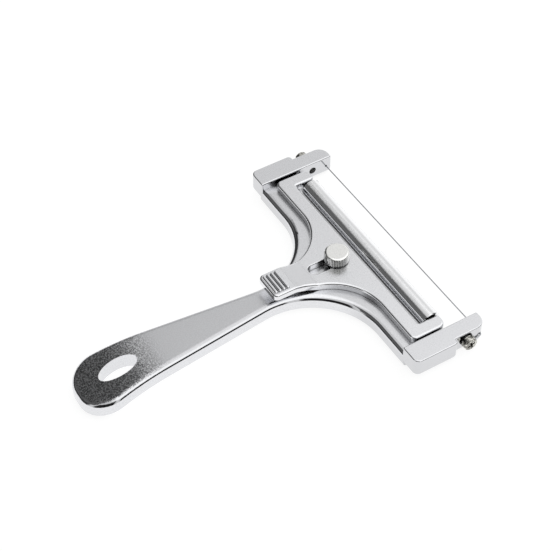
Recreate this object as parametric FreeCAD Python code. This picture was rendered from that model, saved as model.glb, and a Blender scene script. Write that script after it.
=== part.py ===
import FreeCAD, Part
import math
import os

V = FreeCAD.Vector

# Cheese wire cutter, millimetres. Origin: thumb-screw axis at the flat underside.
# +X runs along the wire, +Y points from the handle to the wire, +Z is up.

# Cutting wire
WIRE_Y = 27.4
WIRE_Z = 5.4
WIRE_R = 0.25
WIRE_BEND_R = 0.8
WIRE_HOLE_R = 0.5

# Arms that hold the wire
ARM_GAP_HALF = 50.0
ARM_FRONT_X = 56.8
ARM_BLOCK_X = 59.0
ARM_TIP_Y = 29.8
ARM_STEP_Y = 15.3
ARM_TOP_Z = 10.0
ARM_TIP_R = 4.4
ARM_CORNER_R = 2.6
ARM_STEP_R = 1.6
ARM_RIM_R = 0.6
ARM_TOP_RIM_R = 0.54
ARM_FOOT_R = 2.2
ARM_FOOT_Z = 1.2
ARM_TOE_R = 3.5

# Yoke and handle
YOKE_TOP_Z = 6.6
UNDERSIDE_Z = 0.0
YOKE_FRONT_Y = 9.8
YOKE_REAR_Y = -3.6
YOKE_FLARE_R = 28.5
NECK_Y = -32.6
NECK_HALF = 5.6
HANDLE_TAPER = 0.1055
HANDLE_END_Y = -112.8
HANDLE_END_R = 11.3
HANDLE_RIM_R = 2.5
HANDLE_FOOT_R = 1.8
CURL_START_Y = -80.6
CURL_R = 86.0
HANG_Y = -95.5
HANG_HALF = 4.1
HANG_LENGTH = 15.8

# Slide plate
PLATE_TOP_Z = 9.6
PLATE_LIFT = 0.1
PLATE_HALF = 48.9
PLATE_FRONT_Y = 17.2
PLATE_REAR_Y = 2.0
PLATE_FLARE_R = 22.0
PLATE_CORNER_R = 2.4
PLATE_RIM_R = 0.9
WINDOW_HALF = 43.1
WINDOW_REAR_Y = 8.2
WINDOW_CORNER_R = 0.7
EAR_CORNER_R = 3.0
EAR_TIP_R = 1.2
EAR_DROP = 2.4
LUG_FRONT = 2.2
LUG_REAR_Y = 10.1
LUG_R = 2.0
TAIL_HALF = 6.5
TAIL_END_Y = -31.8
TAIL_CORNER_R = 2.2
TAIL_TOP_Z = 12.2
TAIL_THICK = 2.4
BEND_R = 6.0
RAMP_START_Y = -12.9
RAMP_END_Y = -22.6
RIDGE_COUNT = 4
RIDGE_PITCH = 1.74
RIDGE_FIRST_Y = -24.9
RIDGE_R = 0.8
RIDGE_HALF = 5.2
SLOT_RIM_R = 0.4
SLOT_HALF = 2.6
SLOT_REAR_Y = -12.6

# Roller and its axle
ROLLER_Y = 14.5
ROLLER_Z = 6.3
ROLLER_R = 4.2
ROLLER_LEFT_X = -41.5
ROLLER_RIGHT_X = 42.8
ROLLER_BORE_R = 1.3
ROLLER_HUB_R = 2.3
ROLLER_HUB_LEFT_X = -42.8
ROLLER_HUB_RIGHT_X = 42.95
ROLLER_CHAMFER = 0.2
AXLE_R = 1.24
AXLE_BORE_R = 1.25
AXLE_END_X = 48.2
AXLE_CHAMFER = 0.25

# Thumb screw
KNOB_R = 4.9
KNOB_TOP_Z = 14.1
KNOB_SEAT_GAP = 0.1
KNOB_CROWN_R = 1.0
KNOB_CHAMFER = 0.4
KNURL_COUNT = 44
KNURL_DEPTH = 0.4
STUD_R = 2.0
STUD_HOLE_R = 2.06
STUD_END_Z = 1.8
STUD_HOLE_END_Z = 1.3
STUD_CHAMFER = 0.4

# Wire clamp screws and washers
CLAMP_Y = 20.8
CLAMP_Z = 6.0
CLAMP_SHANK_R = 1.5
CLAMP_HOLE_R = 1.56
CLAMP_TIP_X = 52.8
WASHER_R = 2.9
WASHER_BORE_R = 1.65
WASHER_THICK = 0.5
HEAD_R = 2.75
HEAD_HEIGHT = 1.8
HEAD_DOME = 0.6
HEAD_GAP = 0.06
CROSS_WIDTH = 0.8
CROSS_LENGTH = 3.2
CROSS_DEPTH = 1.1
CROSS_TURN = 20.0

# Wire loop round a clamp screw
WIRE_FACE_GAP = 0.07
LOOP_GAP = 0.1
LOOP_SWEEP = 250.0

# How far cutters run past a piece, and how near an edge is to count as being there
OVERSHOOT = 1.0
CUTTER_DEPTH = 10.0
NEAR = 0.1

# Worked out from the sizes above
WASHER_X = ARM_FRONT_X + 2.0 * (WIRE_R + WIRE_FACE_GAP)
HEAD_X = WASHER_X + WASHER_THICK + HEAD_GAP
PLATE_BOTTOM_Z = YOKE_TOP_Z + PLATE_LIFT
PLATE_THICK = PLATE_TOP_Z - PLATE_BOTTOM_Z


def outline(corners):
    """Closed flat wire through (x, y, radius) corners, each rounded by its radius."""
    count = len(corners)
    arcs = []
    for i in range(count):
        x, y, radius = corners[i]
        here = V(x, y, 0)
        back = V(corners[i - 1][0], corners[i - 1][1], 0) - here
        ahead = V(corners[(i + 1) % count][0], corners[(i + 1) % count][1], 0) - here
        back.normalize()
        ahead.normalize()
        half = back.getAngle(ahead) / 2.0
        reach = radius / math.tan(half)
        inward = (back + ahead).normalize()
        crown = here + inward * (radius / math.sin(half) - radius)
        arcs.append((here + back * reach, crown, here + ahead * reach))
    edges = []
    for i in range(count):
        start, crown, end = arcs[i]
        if corners[i][2] > 0:
            edges.append(Part.Arc(start, crown, end).toShape())
        following = arcs[(i + 1) % count][0]
        if not end.isEqual(following, 1e-6):
            edges.append(Part.makeLine(end, following))
    return Part.Wire(edges)


def prism(corners, low, high):
    """Solid with a rounded plan outline between two heights."""
    face = Part.Face(outline(corners))
    face.translate(V(0, 0, low))
    return face.extrude(V(0, 0, high - low))


def side_prism(corners, left, right):
    """Solid with a rounded (y, z) side outline between two x positions."""
    solid = prism(corners, left, right)
    solid.rotate(V(0, 0, 0), V(1, 1, 1), 120)
    return solid


def rod_x(radius, start, end, y, z):
    """Round bar along X."""
    return Part.makeCylinder(radius, end - start, V(start, y, z), V(1, 0, 0))


def mirrored(shape):
    """The same piece on the other side of the middle plane."""
    return shape.mirror(V(0, 0, 0), V(1, 0, 0))


def half_width(y):
    """Half the width of the tapered handle at y."""
    return NECK_HALF + HANDLE_TAPER * (NECK_Y - y)


def handle_profile():
    """Side outline of the yoke and handle: level, then curling down to the end."""
    front = YOKE_FRONT_Y
    end = HANDLE_END_Y - HANDLE_RIM_R
    thick = YOKE_TOP_Z - UNDERSIDE_Z
    centre_z = YOKE_TOP_Z - CURL_R
    run = CURL_START_Y - end
    half_run = run / 2.0
    edges = [Part.makeLine(V(0, front, YOKE_TOP_Z), V(0, CURL_START_Y, YOKE_TOP_Z))]
    ends = []
    for radius in (CURL_R, CURL_R - thick):
        first = V(0, CURL_START_Y, centre_z + radius)
        middle = V(0, CURL_START_Y - half_run, centre_z + math.sqrt(radius ** 2 - half_run ** 2))
        last = V(0, end, centre_z + math.sqrt(radius ** 2 - run ** 2))
        edges.append(Part.Arc(first, middle, last).toShape())
        ends.append(last)
    edges.append(Part.makeLine(ends[0], ends[1]))
    edges.append(Part.makeLine(V(0, CURL_START_Y, UNDERSIDE_Z), V(0, front, UNDERSIDE_Z)))
    edges.append(Part.makeLine(V(0, front, UNDERSIDE_Z), V(0, front, YOKE_TOP_Z)))
    return Part.Face(Part.Wire(Part.__sortEdges__(edges)))


def round_rims(solid, wanted, radius):
    """Fillet the edges that the test accepts."""
    edges = [edge for edge in solid.Edges if wanted(edge)]
    return solid.makeFillet(radius, edges)


def round_edges(bar):
    """The two end circles of a round bar."""
    return [edge for edge in bar.Edges if isinstance(edge.Curve, Part.Circle)]


def yoke_and_handle():
    """Flat T of the yoke running into the tapered handle."""
    reach = ARM_GAP_HALF + OVERSHOOT
    corners = [
        (reach, YOKE_FRONT_Y, 0),
        (-reach, YOKE_FRONT_Y, 0),
        (-reach, YOKE_REAR_Y, 0),
        (-half_width(YOKE_REAR_Y), YOKE_REAR_Y, YOKE_FLARE_R),
        (-half_width(HANDLE_END_Y), HANDLE_END_Y, HANDLE_END_R),
        (half_width(HANDLE_END_Y), HANDLE_END_Y, HANDLE_END_R),
        (half_width(YOKE_REAR_Y), YOKE_REAR_Y, YOKE_FLARE_R),
        (reach, YOKE_REAR_Y, 0),
    ]
    plan = prism(corners, UNDERSIDE_Z - CUTTER_DEPTH, YOKE_TOP_Z + OVERSHOOT)
    profile = handle_profile()
    profile.translate(V(-ARM_BLOCK_X, 0, 0))
    side = profile.extrude(V(2.0 * ARM_BLOCK_X, 0, 0))
    solid = plan.common(side)

    def is_rim(edge):
        box = edge.BoundBox
        middle = edge.CenterOfMass
        across = box.YLength < NEAR and abs(middle.y - CURL_START_Y) < NEAR
        upright = box.XLength < NEAR and box.YLength < NEAR
        front = middle.y > YOKE_FRONT_Y - NEAR
        buried = box.XLength < NEAR and abs(middle.x) > ARM_GAP_HALF
        return not (across or upright or front or buried)

    def mid_z(y):
        middle = (YOKE_TOP_Z + UNDERSIDE_Z) / 2.0
        run = max(0.0, CURL_START_Y - y)
        return middle - run ** 2 / (2.0 * CURL_R)

    def is_top(edge):
        return is_rim(edge) and edge.CenterOfMass.z > mid_z(edge.CenterOfMass.y)

    def is_foot(edge):
        return is_rim(edge) and edge.CenterOfMass.z < mid_z(edge.CenterOfMass.y)

    solid = round_rims(solid, is_top, HANDLE_RIM_R)
    return round_rims(solid, is_foot, HANDLE_FOOT_R)


def toe_cutter():
    """Rounds the lower front corner of the right arm's rear block."""
    low = ARM_FOOT_Z + ARM_TOE_R
    back = ARM_STEP_Y - ARM_TOE_R
    reach = ARM_TOE_R + OVERSHOOT
    corner = Part.makeBox(ARM_BLOCK_X, reach, reach, V(ARM_FRONT_X, back, low - reach))
    return corner.cut(rod_x(ARM_TOE_R, ARM_FRONT_X, 2.0 * ARM_BLOCK_X, back, low))


def arm():
    """Right arm: thick rear block, stepped in to a thinner front part."""
    corners = [
        (ARM_GAP_HALF, YOKE_REAR_Y, ARM_RIM_R),
        (ARM_BLOCK_X, YOKE_REAR_Y, ARM_CORNER_R),
        (ARM_BLOCK_X, ARM_STEP_Y, ARM_STEP_R),
        (ARM_FRONT_X, ARM_STEP_Y, 0),
        (ARM_FRONT_X, ARM_TIP_Y, ARM_TIP_R),
        (ARM_GAP_HALF, ARM_TIP_Y, ARM_RIM_R),
    ]
    solid = prism(corners, ARM_FOOT_Z, ARM_TOP_Z)

    def is_top(edge):
        return edge.BoundBox.ZMin > ARM_TOP_Z - NEAR

    def is_foot(edge):
        outer = edge.BoundBox.XMax > ARM_GAP_HALF + ARM_RIM_R + NEAR
        return outer and edge.BoundBox.ZMax < ARM_FOOT_Z + NEAR

    solid = round_rims(solid, is_top, ARM_TOP_RIM_R)
    return round_rims(solid, is_foot, ARM_FOOT_R).cut(toe_cutter())


def hang_hole():
    """Oval cutter through the handle end."""
    oval = Part.Ellipse(V(0, 0, 0), HANG_LENGTH / 2.0, HANG_HALF).toShape()
    face = Part.Face(Part.Wire([oval]))
    face.rotate(V(0, 0, 0), V(0, 0, 1), 90)
    face.translate(V(0, HANG_Y, UNDERSIDE_Z - CUTTER_DEPTH))
    return face.extrude(V(0, 0, 2.0 * CUTTER_DEPTH))


def body_frame():
    """One casting: two arms, yoke and handle, with its drilled holes."""
    right = arm()
    solid = yoke_and_handle().cut(hang_hole()).fuse([right, mirrored(right)])
    stud_hole = Part.makeCylinder(STUD_HOLE_R, YOKE_TOP_Z, V(0, 0, STUD_HOLE_END_Z))
    wire_hole = rod_x(WIRE_HOLE_R, -ARM_BLOCK_X, ARM_BLOCK_X, WIRE_Y, WIRE_Z)
    clamp_hole = rod_x(CLAMP_HOLE_R, -ARM_BLOCK_X, ARM_BLOCK_X, CLAMP_Y, CLAMP_Z)
    return solid.cut([stud_hole, wire_hole, clamp_hole]).removeSplitter()


def plate_plan():
    """Corners of the slide plate seen from above, starting at the window."""
    right = [
        (WINDOW_HALF, WINDOW_REAR_Y, WINDOW_CORNER_R),
        (WINDOW_HALF, PLATE_FRONT_Y, EAR_TIP_R),
        (PLATE_HALF, PLATE_FRONT_Y, EAR_CORNER_R),
        (PLATE_HALF, PLATE_REAR_Y, PLATE_CORNER_R),
        (TAIL_HALF, PLATE_REAR_Y, PLATE_FLARE_R),
        (TAIL_HALF, TAIL_END_Y, TAIL_CORNER_R),
    ]
    left = [(-x, y, radius) for x, y, radius in reversed(right)]
    return right + left


def plate_side():
    """Side outline of the slide plate: level, then bent up to the thumb tail."""
    front = PLATE_FRONT_Y + OVERSHOOT
    back = TAIL_END_Y - OVERSHOOT
    upper = [
        (front, PLATE_TOP_Z, 0),
        (RAMP_START_Y, PLATE_TOP_Z, BEND_R),
        (RAMP_END_Y, TAIL_TOP_Z, BEND_R),
        (back, TAIL_TOP_Z, 0),
    ]
    lower = [
        (back, TAIL_TOP_Z - TAIL_THICK, 0),
        (RAMP_END_Y, TAIL_TOP_Z - TAIL_THICK, BEND_R),
        (RAMP_START_Y, PLATE_BOTTOM_Z, BEND_R),
        (front, PLATE_BOTTOM_Z, 0),
    ]
    return upper + lower


def plate_top(y):
    """Height of the slide plate's upper face at y."""
    share = (RAMP_START_Y - y) / (RAMP_START_Y - RAMP_END_Y)
    return PLATE_TOP_Z + (TAIL_TOP_Z - PLATE_TOP_Z) * min(max(share, 0.0), 1.0)


def bent_plate():
    """Bent T-shaped plate with its upper rim rounded."""
    solid = prism(plate_plan(), PLATE_BOTTOM_Z, TAIL_TOP_Z + OVERSHOOT)
    solid = solid.common(side_prism(plate_side(), -PLATE_HALF - OVERSHOOT, PLATE_HALF + OVERSHOOT))

    def is_rim(edge):
        middle = edge.CenterOfMass
        bend = edge.BoundBox.YLength < NEAR and TAIL_END_Y + NEAR < middle.y < PLATE_REAR_Y
        return middle.z > plate_top(middle.y) - TAIL_THICK / 3.0 and not bend

    return round_rims(solid, is_rim, PLATE_RIM_R)


def roller_lug():
    """Right lug under the plate's ear, which holds one end of the axle."""
    low = ROLLER_Z - EAR_DROP
    side = [
        (LUG_REAR_Y, PLATE_BOTTOM_Z + OVERSHOOT, 0),
        (ROLLER_Y + LUG_FRONT, PLATE_BOTTOM_Z + OVERSHOOT, 0),
        (ROLLER_Y + LUG_FRONT, low, LUG_R),
        (LUG_REAR_Y, low, LUG_R),
    ]
    lug = side_prism(side, WINDOW_HALF, PLATE_HALF)
    return lug.common(prism(plate_plan(), low, PLATE_TOP_Z))


def thumb_ridge(y):
    """Half-round ridge with ball ends, sunk half its height into the tail."""
    bar = rod_x(RIDGE_R, -RIDGE_HALF + RIDGE_R, RIDGE_HALF - RIDGE_R, y, TAIL_TOP_Z)
    balls = []
    for x in (-RIDGE_HALF + RIDGE_R, RIDGE_HALF - RIDGE_R):
        balls.append(Part.makeSphere(RIDGE_R, V(x, y, TAIL_TOP_Z)))
    return bar.fuse(balls)


def slide_plate():
    """Slotted bent plate with raised thumb ridges and the two drilled lugs."""
    slot = [(x, y, SLOT_HALF) for x, y in (
        (SLOT_HALF, SLOT_HALF),
        (-SLOT_HALF, SLOT_HALF),
        (-SLOT_HALF, SLOT_REAR_Y),
        (SLOT_HALF, SLOT_REAR_Y),
    )]
    solid = bent_plate().cut(prism(slot, UNDERSIDE_Z, TAIL_TOP_Z))

    def is_slot_rim(edge):
        box = edge.BoundBox
        inside = max(abs(box.XMin), abs(box.XMax)) < SLOT_HALF + NEAR
        return inside and box.YMax < SLOT_HALF + NEAR and box.ZMin > PLATE_TOP_Z - NEAR

    solid = round_rims(solid, is_slot_rim, SLOT_RIM_R)
    lug = roller_lug()
    additions = [lug, mirrored(lug)]
    for i in range(RIDGE_COUNT):
        additions.append(thumb_ridge(RIDGE_FIRST_Y - i * RIDGE_PITCH))
    reach = PLATE_HALF + OVERSHOOT
    bore = rod_x(AXLE_BORE_R, -reach, reach, ROLLER_Y, ROLLER_Z)
    return solid.fuse(additions).cut(bore).removeSplitter()


def roller():
    """Hollow roller with a hub at each end, resting near the right lug."""
    barrel = rod_x(ROLLER_R, ROLLER_LEFT_X, ROLLER_RIGHT_X, ROLLER_Y, ROLLER_Z)
    barrel = barrel.makeChamfer(ROLLER_CHAMFER, round_edges(barrel))
    hub = rod_x(ROLLER_HUB_R, ROLLER_HUB_LEFT_X, ROLLER_HUB_RIGHT_X, ROLLER_Y, ROLLER_Z)
    bore = rod_x(ROLLER_BORE_R, -PLATE_HALF, PLATE_HALF, ROLLER_Y, ROLLER_Z)
    return barrel.fuse(hub).cut(bore)


def roller_axle():
    """Plain pin pressed into both lugs."""
    pin = rod_x(AXLE_R, -AXLE_END_X, AXLE_END_X, ROLLER_Y, ROLLER_Z)
    return pin.makeChamfer(AXLE_CHAMFER, round_edges(pin))


def thumb_screw():
    """Knurled knob with its stud."""
    seat = PLATE_TOP_Z + KNOB_SEAT_GAP
    teeth = []
    for i in range(2 * KNURL_COUNT):
        radius = KNOB_R - KNURL_DEPTH * (i % 2)
        angle = math.pi * i / KNURL_COUNT
        teeth.append(V(radius * math.cos(angle), radius * math.sin(angle), seat))
    knurl = Part.Face(Part.makePolygon(teeth + teeth[:1])).extrude(V(0, 0, KNOB_TOP_Z - seat))
    blank = Part.makeCylinder(KNOB_R, KNOB_TOP_Z - seat, V(0, 0, seat))
    blank = round_rims(blank, lambda edge: edge.BoundBox.ZMin > KNOB_TOP_Z - NEAR, KNOB_CROWN_R)
    foot = [edge for edge in round_edges(blank) if edge.BoundBox.ZMax < seat + NEAR]
    blank = blank.makeChamfer(KNOB_CHAMFER, foot)
    stud = Part.makeCylinder(STUD_R, seat - STUD_END_Z + OVERSHOOT, V(0, 0, STUD_END_Z))
    tip = [edge for edge in round_edges(stud) if edge.BoundBox.ZMax < STUD_END_Z + NEAR]
    return knurl.common(blank).fuse(stud.makeChamfer(STUD_CHAMFER, tip)).removeSplitter()


def wire_washer():
    """Flat washer that pinches the wire loop."""
    disc = rod_x(WASHER_R, WASHER_X, WASHER_X + WASHER_THICK, CLAMP_Y, CLAMP_Z)
    return disc.cut(rod_x(WASHER_BORE_R, ARM_GAP_HALF, HEAD_X + OVERSHOOT, CLAMP_Y, CLAMP_Z))


def wire_screw():
    """Domed cross-recess screw that clamps the wire end."""
    end = HEAD_X + HEAD_HEIGHT
    head = rod_x(HEAD_R, HEAD_X, end, CLAMP_Y, CLAMP_Z)
    head = round_rims(head, lambda edge: edge.BoundBox.XMin > end - NEAR, HEAD_DOME)
    shank = rod_x(CLAMP_SHANK_R, CLAMP_TIP_X, HEAD_X + HEAD_GAP, CLAMP_Y, CLAMP_Z)
    solid = head.fuse(shank)
    cuts = []
    for turn in (CROSS_TURN, CROSS_TURN + 90.0):
        slit = Part.makeBox(CROSS_DEPTH + OVERSHOOT, CROSS_LENGTH, CROSS_WIDTH)
        slit.translate(V(end - CROSS_DEPTH, CLAMP_Y - CROSS_LENGTH / 2.0, CLAMP_Z - CROSS_WIDTH / 2.0))
        slit.rotate(V(0, CLAMP_Y, CLAMP_Z), V(1, 0, 0), turn)
        cuts.append(slit)
    return solid.cut(cuts).removeSplitter()


def wire_side():
    """Path edges of the right half: taut run, bend, lead and loop round the screw."""
    loop_r = CLAMP_SHANK_R + LOOP_GAP + WIRE_R
    plane_x = ARM_FRONT_X + WIRE_FACE_GAP + WIRE_R
    span = math.hypot(CLAMP_Y - WIRE_Y, CLAMP_Z - WIRE_Z)
    heading = math.atan2(CLAMP_Z - WIRE_Z, CLAMP_Y - WIRE_Y) + math.asin(loop_r / span)
    along = V(0, math.cos(heading), math.sin(heading))
    corner = V(plane_x, WIRE_Y, WIRE_Z)
    touch = corner + along * math.sqrt(span ** 2 - loop_r ** 2)
    turn = corner + along * WIRE_BEND_R
    run_end = corner - V(WIRE_BEND_R, 0, 0)
    bend_mid = run_end + along * WIRE_BEND_R
    corner_dir = (V(1, 0, 0) - along).normalize()
    bend_crown = bend_mid + corner_dir * WIRE_BEND_R
    centre = V(plane_x, CLAMP_Y, CLAMP_Z)
    first = math.atan2(touch.z - CLAMP_Z, touch.y - CLAMP_Y)
    loop = []
    for sweep in (LOOP_SWEEP / 2.0, LOOP_SWEEP):
        angle = first - math.radians(sweep)
        loop.append(centre + V(0, math.cos(angle), math.sin(angle)) * loop_r)
    return [
        Part.makeLine(V(0, WIRE_Y, WIRE_Z), run_end),
        Part.Arc(run_end, bend_crown, turn).toShape(),
        Part.makeLine(turn, touch),
        Part.Arc(touch, loop[0], loop[1]).toShape(),
    ]


def cutting_wire():
    """Taut wire with both ends led round their clamp screws."""
    path = Part.Wire(wire_side())
    ring = Part.Wire([Part.Circle(V(0, WIRE_Y, WIRE_Z), V(1, 0, 0), WIRE_R).toShape()])
    half = path.makePipeShell([ring], True, False)
    return half.fuse(mirrored(half)).removeSplitter()


def main():
    """Write one STEP file for each piece."""
    os.makedirs("parts", exist_ok=True)
    washer = wire_washer()
    screw = wire_screw()
    pieces = {
        "body_frame": body_frame(),
        "slide_plate": slide_plate(),
        "roller": roller(),
        "roller_axle": roller_axle(),
        "thumb_screw": thumb_screw(),
        "cutting_wire": cutting_wire(),
        "wire_washer_right": washer,
        "wire_washer_left": mirrored(washer),
        "wire_screw_right": screw,
        "wire_screw_left": mirrored(screw),
    }
    for name, shape in pieces.items():
        shape.exportStep("parts/" + name + ".step")
        print(name, shape.ShapeType, "valid" if shape.isValid() else "NOT VALID", len(shape.Solids))


main()
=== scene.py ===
"""Cheese wire cutter: chrome finishes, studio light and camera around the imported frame."""
import math

import bmesh
import bpy
from mathutils import Matrix, Vector


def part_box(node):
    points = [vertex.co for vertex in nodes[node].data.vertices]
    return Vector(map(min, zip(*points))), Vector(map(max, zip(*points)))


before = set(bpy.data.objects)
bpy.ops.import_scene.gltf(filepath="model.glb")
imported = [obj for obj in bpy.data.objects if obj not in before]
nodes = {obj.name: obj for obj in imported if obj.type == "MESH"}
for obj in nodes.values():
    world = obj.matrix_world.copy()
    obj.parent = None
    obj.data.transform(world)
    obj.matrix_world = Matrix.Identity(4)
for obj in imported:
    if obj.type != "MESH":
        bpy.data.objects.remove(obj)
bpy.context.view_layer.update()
scene = bpy.context.scene

MM = 0.001

# Camera, as the cutter is seen: degrees round from -Y towards +X, degrees up, and roll.
CAMERA_AZIMUTH = math.radians(58.724)
CAMERA_ELEVATION = math.radians(47.564)
CAMERA_ROLL = math.radians(-0.249)
CAMERA_DISTANCE = 589.1 * MM
CAMERA_AIM = Vector((-13.8, -19.3, -1.4)) * MM
CAMERA_LENS = 98.0
CAMERA_SENSOR = 36.0

# Studio light. Azimuth is in degrees round from +X towards +Y, and elevation in degrees up.
SKY_LIGHT = 0.87
SOFTBOX_LIGHT = 1.5
SOFTBOX_WAY = Vector((0.25, 0.35, 0.9))
SOFTBOX_EDGE = math.cos(math.radians(50))
SOFTBOX_FULL = math.cos(math.radians(38))

# Each panel: azimuth from and to, its soft edge, elevations where it fades out and is full, light.
PANELS = (
    (95.0, 150.0, 12.0, 34.0, 12.0, 1.25),
    (166.0, 262.0, 5.0, 54.0, 42.0, 0.055),
    (3.0, 72.0, 4.0, 30.0, 26.0, 0.03),
    (278.0, 345.0, 5.0, 44.0, 37.0, 0.02),
)
CARD_LOW = Vector((-330, -380, 135)) * MM
CARD_HIGH = Vector((10, -74, 135)) * MM
CARD_TONE = 0.09

# Floor, tilted so that the handle's tip and the underside of the yoke both rest on it.
FLOOR_RADIUS = 18.0
FLOOR_EDGE_Y = 9.8 * MM
FLOOR_SPAN = FLOOR_EDGE_Y + 108 * MM
FLOOR_DROP = 0.1 * MM
FLOOR_TONE = 0.16
FLOOR_GLOW = 0.9

# Finishes, with painted shade on the handle's curled tip and on the arms' sides
HANDLE_FROM_Y = -30 * MM
HANDLE_BLEND = 6 * MM
# The handle's curled tip, where the blasted grains are painted darker as shade.
CURL_FROM_Y = -76 * MM
CURL_TO_Y = -90 * MM
BLASTED_ROUGHNESS = 0.29
PIT_SIZE = 0.55 * MM
PIT_DEPTH = 0.06 * MM
SATIN_DEPTH = 0.006 * MM
# Where the painted shade on the steep sides of the arms fades in, along y.
ARM_SHADE_BLEND = (-9 * MM, -4 * MM)


# ---------------------------------------------------------------- node helpers

def new_tree(name):
    """A node material with only its output and one Principled shader."""
    material = bpy.data.materials.new(name)
    material.use_nodes = True
    tree = material.node_tree
    tree.nodes.clear()
    output = tree.nodes.new("ShaderNodeOutputMaterial")
    shader = tree.nodes.new("ShaderNodeBsdfPrincipled")
    tree.links.new(shader.outputs["BSDF"], output.inputs["Surface"])
    return material, tree, shader


def feed(tree, value, socket):
    """Set a socket to a number, or link another node's output to it."""
    if isinstance(value, bpy.types.NodeSocket):
        tree.links.new(value, socket)
    else:
        socket.default_value = value


def maths(tree, operation, a, b=0.0):
    """One Math node's output."""
    node = tree.nodes.new("ShaderNodeMath")
    node.operation = operation
    feed(tree, a, node.inputs[0])
    feed(tree, b, node.inputs[1])
    return node.outputs[0]


def ramp(tree, value, low, high, start=0.0, end=1.0):
    """A value that goes smoothly from start to end as the input goes from low to high."""
    node = tree.nodes.new("ShaderNodeMapRange")
    node.interpolation_type = "SMOOTHSTEP"
    feed(tree, value, node.inputs["Value"])
    feed(tree, low, node.inputs["From Min"])
    feed(tree, high, node.inputs["From Max"])
    feed(tree, start, node.inputs["To Min"])
    feed(tree, end, node.inputs["To Max"])
    return node.outputs["Result"]


def mix(tree, factor, a, b):
    """Blend two numbers."""
    node = tree.nodes.new("ShaderNodeMix")
    feed(tree, factor, node.inputs[0])
    feed(tree, a, node.inputs[2])
    feed(tree, b, node.inputs[3])
    return node.outputs[0]


def mix_colour(tree, factor, a, b):
    """Blend two colours."""
    node = tree.nodes.new("ShaderNodeMix")
    node.data_type = "RGBA"
    feed(tree, factor, node.inputs[0])
    feed(tree, a, node.inputs[6])
    feed(tree, b, node.inputs[7])
    return node.outputs[2]


def noise(tree, vector, size, detail=2.0, roughness=0.5):
    """Noise whose grains are about this size, in metres."""
    node = tree.nodes.new("ShaderNodeTexNoise")
    tree.links.new(vector, node.inputs["Vector"])
    node.inputs["Scale"].default_value = 1.0 / size
    node.inputs["Detail"].default_value = detail
    node.inputs["Roughness"].default_value = roughness
    return node.outputs["Fac"]


def stretched(tree, vector, scale):
    """Coordinates scaled along each axis."""
    node = tree.nodes.new("ShaderNodeMapping")
    tree.links.new(vector, node.inputs["Vector"])
    node.inputs["Scale"].default_value = scale
    return node.outputs["Vector"]


def bump(tree, height, depth, under=None):
    """Normal tilted by a height field; depth is the height's full range in metres."""
    node = tree.nodes.new("ShaderNodeBump")
    tree.links.new(height, node.inputs["Height"])
    node.inputs["Distance"].default_value = depth
    node.inputs["Strength"].default_value = 1.0
    if under is not None:
        tree.links.new(under, node.inputs["Normal"])
    return node.outputs["Normal"]


def place(tree):
    """Object coordinates, and the surface's own normal split into x, y and z."""
    coords = tree.nodes.new("ShaderNodeTexCoord")
    normal = tree.nodes.new("ShaderNodeSeparateXYZ")
    tree.links.new(coords.outputs["Normal"], normal.inputs[0])
    spot = tree.nodes.new("ShaderNodeSeparateXYZ")
    tree.links.new(coords.outputs["Object"], spot.inputs[0])
    return coords.outputs["Object"], spot, normal


# ---------------------------------------------------------------- materials

def crevice_shade(tree, reach, closed=0.1, opened=0.75):
    """1 on open faces, falling to 0 deep in gaps narrower than the reach, in metres: the mask for
    painted shade in crevices.
    """
    node = tree.nodes.new("ShaderNodeAmbientOcclusion")
    node.samples = 8
    node.inputs["Distance"].default_value = reach
    return ramp(tree, node.outputs["AO"], closed, opened)


def shaded(colour, share):
    """A darker tone of a colour."""
    return tuple(share * c for c in colour[:3]) + (1.0,)


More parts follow.
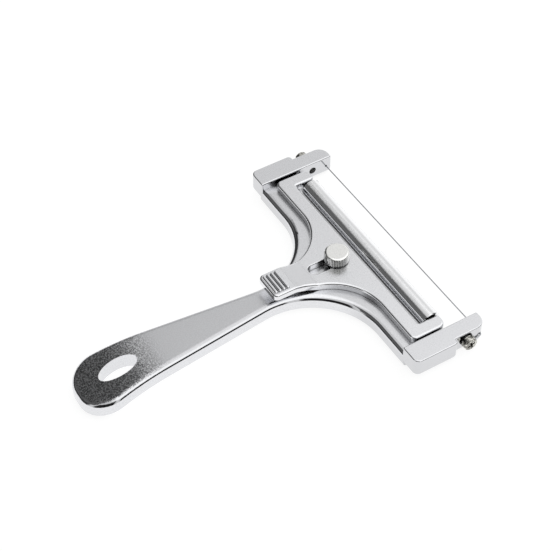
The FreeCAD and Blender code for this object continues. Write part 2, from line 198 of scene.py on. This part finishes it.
def satin_chrome(name, colour, flat_roughness, rim_roughness, shade_gap, blasted_from=None):
    """Chrome plating: satin on level faces, polished on rims, sand-blasted on the handle.

    The gap tuple gives the reach and the two limits of the painted shade in crevices.
    """
    material, tree, shader = new_tree(name)
    where, spot, normal = place(tree)
    level = ramp(tree, normal.outputs["Z"], 0.955, 0.995)
    cloud = noise(tree, where, 7 * MM, 3.0)
    grit = noise(tree, where, 0.5 * MM, 3.0, 0.7)
    fine = noise(tree, where, 0.3 * MM, 2.0)
    satin = mix(tree, cloud, flat_roughness - 0.05, flat_roughness + 0.05)
    polish = mix(tree, cloud, rim_roughness, rim_roughness + 0.04)
    rough = mix(tree, level, polish, satin)
    height = maths(tree, "MULTIPLY", fine, mix(tree, level, 0.1, 1.0))
    tilt = bump(tree, height, SATIN_DEPTH)
    tone = mix_colour(tree, ramp(tree, grit, 0.4, 0.75), colour, shaded(colour, 0.86))
    tone = mix_colour(tree, maths(tree, "MULTIPLY", cloud, 0.3), tone, shaded(colour, 0.9))
    # Mask for painted shade: it darkens the colour in crevices and in gaps between parts.
    unshaded = crevice_shade(tree, *shade_gap)
    if blasted_from is not None:
        handle = ramp(tree, spot.outputs["Y"], blasted_from, blasted_from - HANDLE_BLEND)
        blasted = maths(tree, "MULTIPLY", handle, ramp(tree, normal.outputs["Z"], 0.8, 0.93))
        rough = mix(tree, blasted, rough, BLASTED_ROUGHNESS)
        # Painted shade: towards the curled tip the blasted grains darken, standing in for dark
        # reflections; the grain itself is the blasted texture.
        painted_tip_shade = ramp(tree, spot.outputs["Y"], CURL_FROM_Y, CURL_TO_Y)
        pits = noise(tree, where, PIT_SIZE, 3.0, 0.7)
        tilt = bump(tree, maths(tree, "MULTIPLY", pits, blasted), PIT_DEPTH, under=tilt)
        darkest = mix(tree, painted_tip_shade, 0.74, 0.25)
        lightest = mix(tree, painted_tip_shade, 0.8, 1.0)
        grains = mix(tree, ramp(tree, pits, 0.42, 0.6), darkest, lightest)
        grains = mix_colour(tree, grains, (0, 0, 0, 1), colour)
        tone = mix_colour(tree, blasted, tone, grains)
        # Painted shade: the steep faces of the arms are painted darker than the rest of the body.
        steep = ramp(tree, maths(tree, "ABSOLUTE", normal.outputs["Z"]), 0.2, 0.5, 1.0, 0.0)
        arm_side_shade = maths(tree, "MULTIPLY", steep, ramp(tree, spot.outputs["Y"], *ARM_SHADE_BLEND))
        tone = mix_colour(tree, arm_side_shade, tone, shaded(colour, 0.82))
    # Painted shade: the base colour falls to a near-black tone deep in crevices.
    tone = mix_colour(tree, unshaded, shaded(colour, 0.08), tone)
    shader.inputs["Metallic"].default_value = 1.0
    tree.links.new(tone, shader.inputs["Base Color"])
    tree.links.new(rough, shader.inputs["Roughness"])
    tree.links.new(tilt, shader.inputs["Normal"])
    return material


def bright_metal(name, colour, roughness, streak, depth=0.0008, mottle=0.0):
    """Bright turned or drawn metal, faintly streaked and mottled, with painted shade in crevices;
    depth in millimetres.
    """
    material, tree, shader = new_tree(name)
    where = place(tree)[0]
    lines = noise(tree, stretched(tree, where, streak), 0.5 * MM, 3.0)
    cloud = noise(tree, where, 5 * MM, 2.0)
    rough = mix(tree, cloud, roughness, roughness + 0.06)
    tone = mix_colour(tree, maths(tree, "MULTIPLY", lines, 0.15), colour, shaded(colour, 0.7))
    patches = ramp(tree, noise(tree, where, 0.9 * MM, 1.0), 0.42, 0.55, 0.0, mottle)
    tone = mix_colour(tree, patches, tone, shaded(colour, 0.2))
    # Painted shade: the base colour darkens deep in crevices and gaps.
    tone = mix_colour(tree, crevice_shade(tree, 1.3 * MM, 0.1, 0.65), shaded(colour, 0.12), tone)
    shader.inputs["Metallic"].default_value = 1.0
    tree.links.new(tone, shader.inputs["Base Color"])
    tree.links.new(rough, shader.inputs["Roughness"])
    tree.links.new(bump(tree, lines, depth * MM), shader.inputs["Normal"])
    return material


def coat(material, *names):
    """Give these CAD nodes this material."""
    for name in names:
        slots = nodes[name].data.materials
        slots.clear()
        slots.append(material)


# ---------------------------------------------------------------- studio

def band(tree, value, start, end, edge):
    """1 between start and end, with soft edges, and 0 outside."""
    rise = ramp(tree, value, start - edge, start + edge)
    fall = ramp(tree, value, end - edge, end + edge, 1.0, 0.0)
    return maths(tree, "MULTIPLY", rise, fall)


def studio_world():
    """Bright soft surroundings: overhead softbox, bright front panel and dark side panels."""
    world = bpy.data.worlds.new("studio")
    scene.world = world
    world.use_nodes = True
    tree = world.node_tree
    tree.nodes.clear()
    coords = tree.nodes.new("ShaderNodeTexCoord")
    way = tree.nodes.new("ShaderNodeSeparateXYZ")
    tree.links.new(coords.outputs["Generated"], way.inputs[0])
    turn = maths(tree, "ARCTAN2", way.outputs["Y"], way.outputs["X"])
    turn = maths(tree, "MULTIPLY", turn, 180.0 / math.pi)
    turn = maths(tree, "FLOORED_MODULO", turn, 360.0)
    lift = maths(tree, "MULTIPLY", maths(tree, "ARCSINE", way.outputs["Z"]), 180.0 / math.pi)

    overhead = tree.nodes.new("ShaderNodeVectorMath")
    overhead.operation = "DOT_PRODUCT"
    tree.links.new(coords.outputs["Generated"], overhead.inputs[0])
    overhead.inputs[1].default_value = SOFTBOX_WAY.normalized()
    box = ramp(tree, overhead.outputs["Value"], SOFTBOX_EDGE, SOFTBOX_FULL)
    light = mix(tree, box, SKY_LIGHT, SOFTBOX_LIGHT)
    for start, end, edge, fade, full, value in PANELS:
        across = band(tree, turn, start, end, edge)
        panel = maths(tree, "MULTIPLY", across, ramp(tree, lift, fade, full))
        light = mix(tree, panel, light, value)

    background = tree.nodes.new("ShaderNodeBackground")
    tree.links.new(light, background.inputs["Strength"])
    output = tree.nodes.new("ShaderNodeOutputWorld")
    tree.links.new(background.outputs[0], output.inputs["Surface"])


def black_card():
    """Dark card over the left of the handle, seen only in reflections."""
    mesh = bpy.data.meshes.new("card")
    low, high = CARD_LOW, CARD_HIGH
    corners = [
        (low.x, low.y, low.z),
        (high.x, low.y, low.z),
        (high.x, high.y, low.z),
        (low.x, high.y, low.z),
    ]
    mesh.from_pydata(corners, [], [(0, 1, 2, 3)])
    card = bpy.data.objects.new("card", mesh)
    scene.collection.objects.link(card)
    material, _, shader = new_tree("card")
    shader.inputs["Base Color"].default_value = (CARD_TONE, CARD_TONE, CARD_TONE, 1)
    shader.inputs["Roughness"].default_value = 1.0
    mesh.materials.append(material)
    card.visible_camera = False
    card.visible_shadow = False
    card.visible_diffuse = False


def camera_axes():
    """Unit vectors from the aim to the camera, to its right and up."""
    level = math.cos(CAMERA_ELEVATION)
    back = Vector((math.sin(CAMERA_AZIMUTH) * level, -math.cos(CAMERA_AZIMUTH) * level,
                   math.sin(CAMERA_ELEVATION)))
    side = Vector((math.cos(CAMERA_AZIMUTH), math.sin(CAMERA_AZIMUTH), 0.0))
    up = back.cross(side)
    right = math.cos(CAMERA_ROLL) * side + math.sin(CAMERA_ROLL) * up
    return back, right, back.cross(right)


def add_camera():
    """Long-lens camera at the viewing angle."""
    back, right, up = camera_axes()
    data = bpy.data.cameras.new("camera")
    data.lens = CAMERA_LENS
    data.sensor_width = CAMERA_SENSOR
    data.clip_start = 0.01
    data.clip_end = 60.0
    camera = bpy.data.objects.new("camera", data)
    scene.collection.objects.link(camera)
    spot = CAMERA_AIM + back * CAMERA_DISTANCE
    camera.matrix_world = Matrix((
        (right.x, up.x, back.x, spot.x),
        (right.y, up.y, back.y, spot.y),
        (right.z, up.z, back.z, spot.z),
        (0.0, 0.0, 0.0, 1.0),
    ))
    scene.camera = camera


def floor():
    """Pale floor that the cutter rests on, tilted to meet the handle's curled tip."""
    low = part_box("body_frame")[0]
    mesh = bpy.data.meshes.new("floor")
    shape = bmesh.new()
    bmesh.ops.create_circle(shape, cap_ends=True, segments=96, radius=FLOOR_RADIUS)
    shape.to_mesh(mesh)
    shape.free()
    disc = bpy.data.objects.new("floor", mesh)
    scene.collection.objects.link(disc)
    disc.rotation_euler = (math.atan2(-low.z, FLOOR_SPAN), 0, 0)
    disc.location = (0, FLOOR_EDGE_Y, -FLOOR_DROP)
    material, _, shader = new_tree("floor")
    shader.inputs["Base Color"].default_value = (FLOOR_TONE, FLOOR_TONE, FLOOR_TONE, 1.0)
    shader.inputs["Roughness"].default_value = 0.9
    shader.inputs["Emission Color"].default_value = (1, 1, 1, 1)
    shader.inputs["Emission Strength"].default_value = FLOOR_GLOW
    mesh.materials.append(material)


body_chrome = satin_chrome(
    "body_chrome", (0.80, 0.805, 0.825, 1), 0.26, 0.05, (3 * MM, 0.1, 0.65), HANDLE_FROM_Y)
plate_chrome = satin_chrome(
    "plate_chrome", (0.85, 0.855, 0.875, 1), 0.28, 0.05, (2.2 * MM, 0.15, 0.7))
knob_nickel = satin_chrome(
    "knob_nickel", (0.95, 0.95, 0.93, 1), 0.26, 0.1, (0.9 * MM, 0.3, 0.95))
roller_chrome = bright_metal(
    "roller_chrome", (0.97, 0.975, 0.985, 1), 0.06, (4, 0.05, 0.05), 0.02)
axle_steel = bright_metal("axle_steel", (0.7, 0.71, 0.73, 1), 0.2, (0.02, 1, 1))
wire_steel = bright_metal("wire_steel", (0.5, 0.51, 0.53, 1), 0.25, (0.02, 1, 1))
screw_nickel = bright_metal(
    "screw_nickel", (0.70, 0.69, 0.64, 1), 0.08, (1, 1, 1), 0.006, 0.8)

coat(body_chrome, "body_frame")
coat(plate_chrome, "slide_plate")
coat(roller_chrome, "roller")
coat(axle_steel, "roller_axle")
coat(knob_nickel, "thumb_screw")
coat(wire_steel, "cutting_wire")
coat(screw_nickel, "wire_screw_left", "wire_screw_right", "wire_washer_left", "wire_washer_right")
studio_world()
black_card()
floor()
add_camera()
scene.view_settings.view_transform = "Standard"
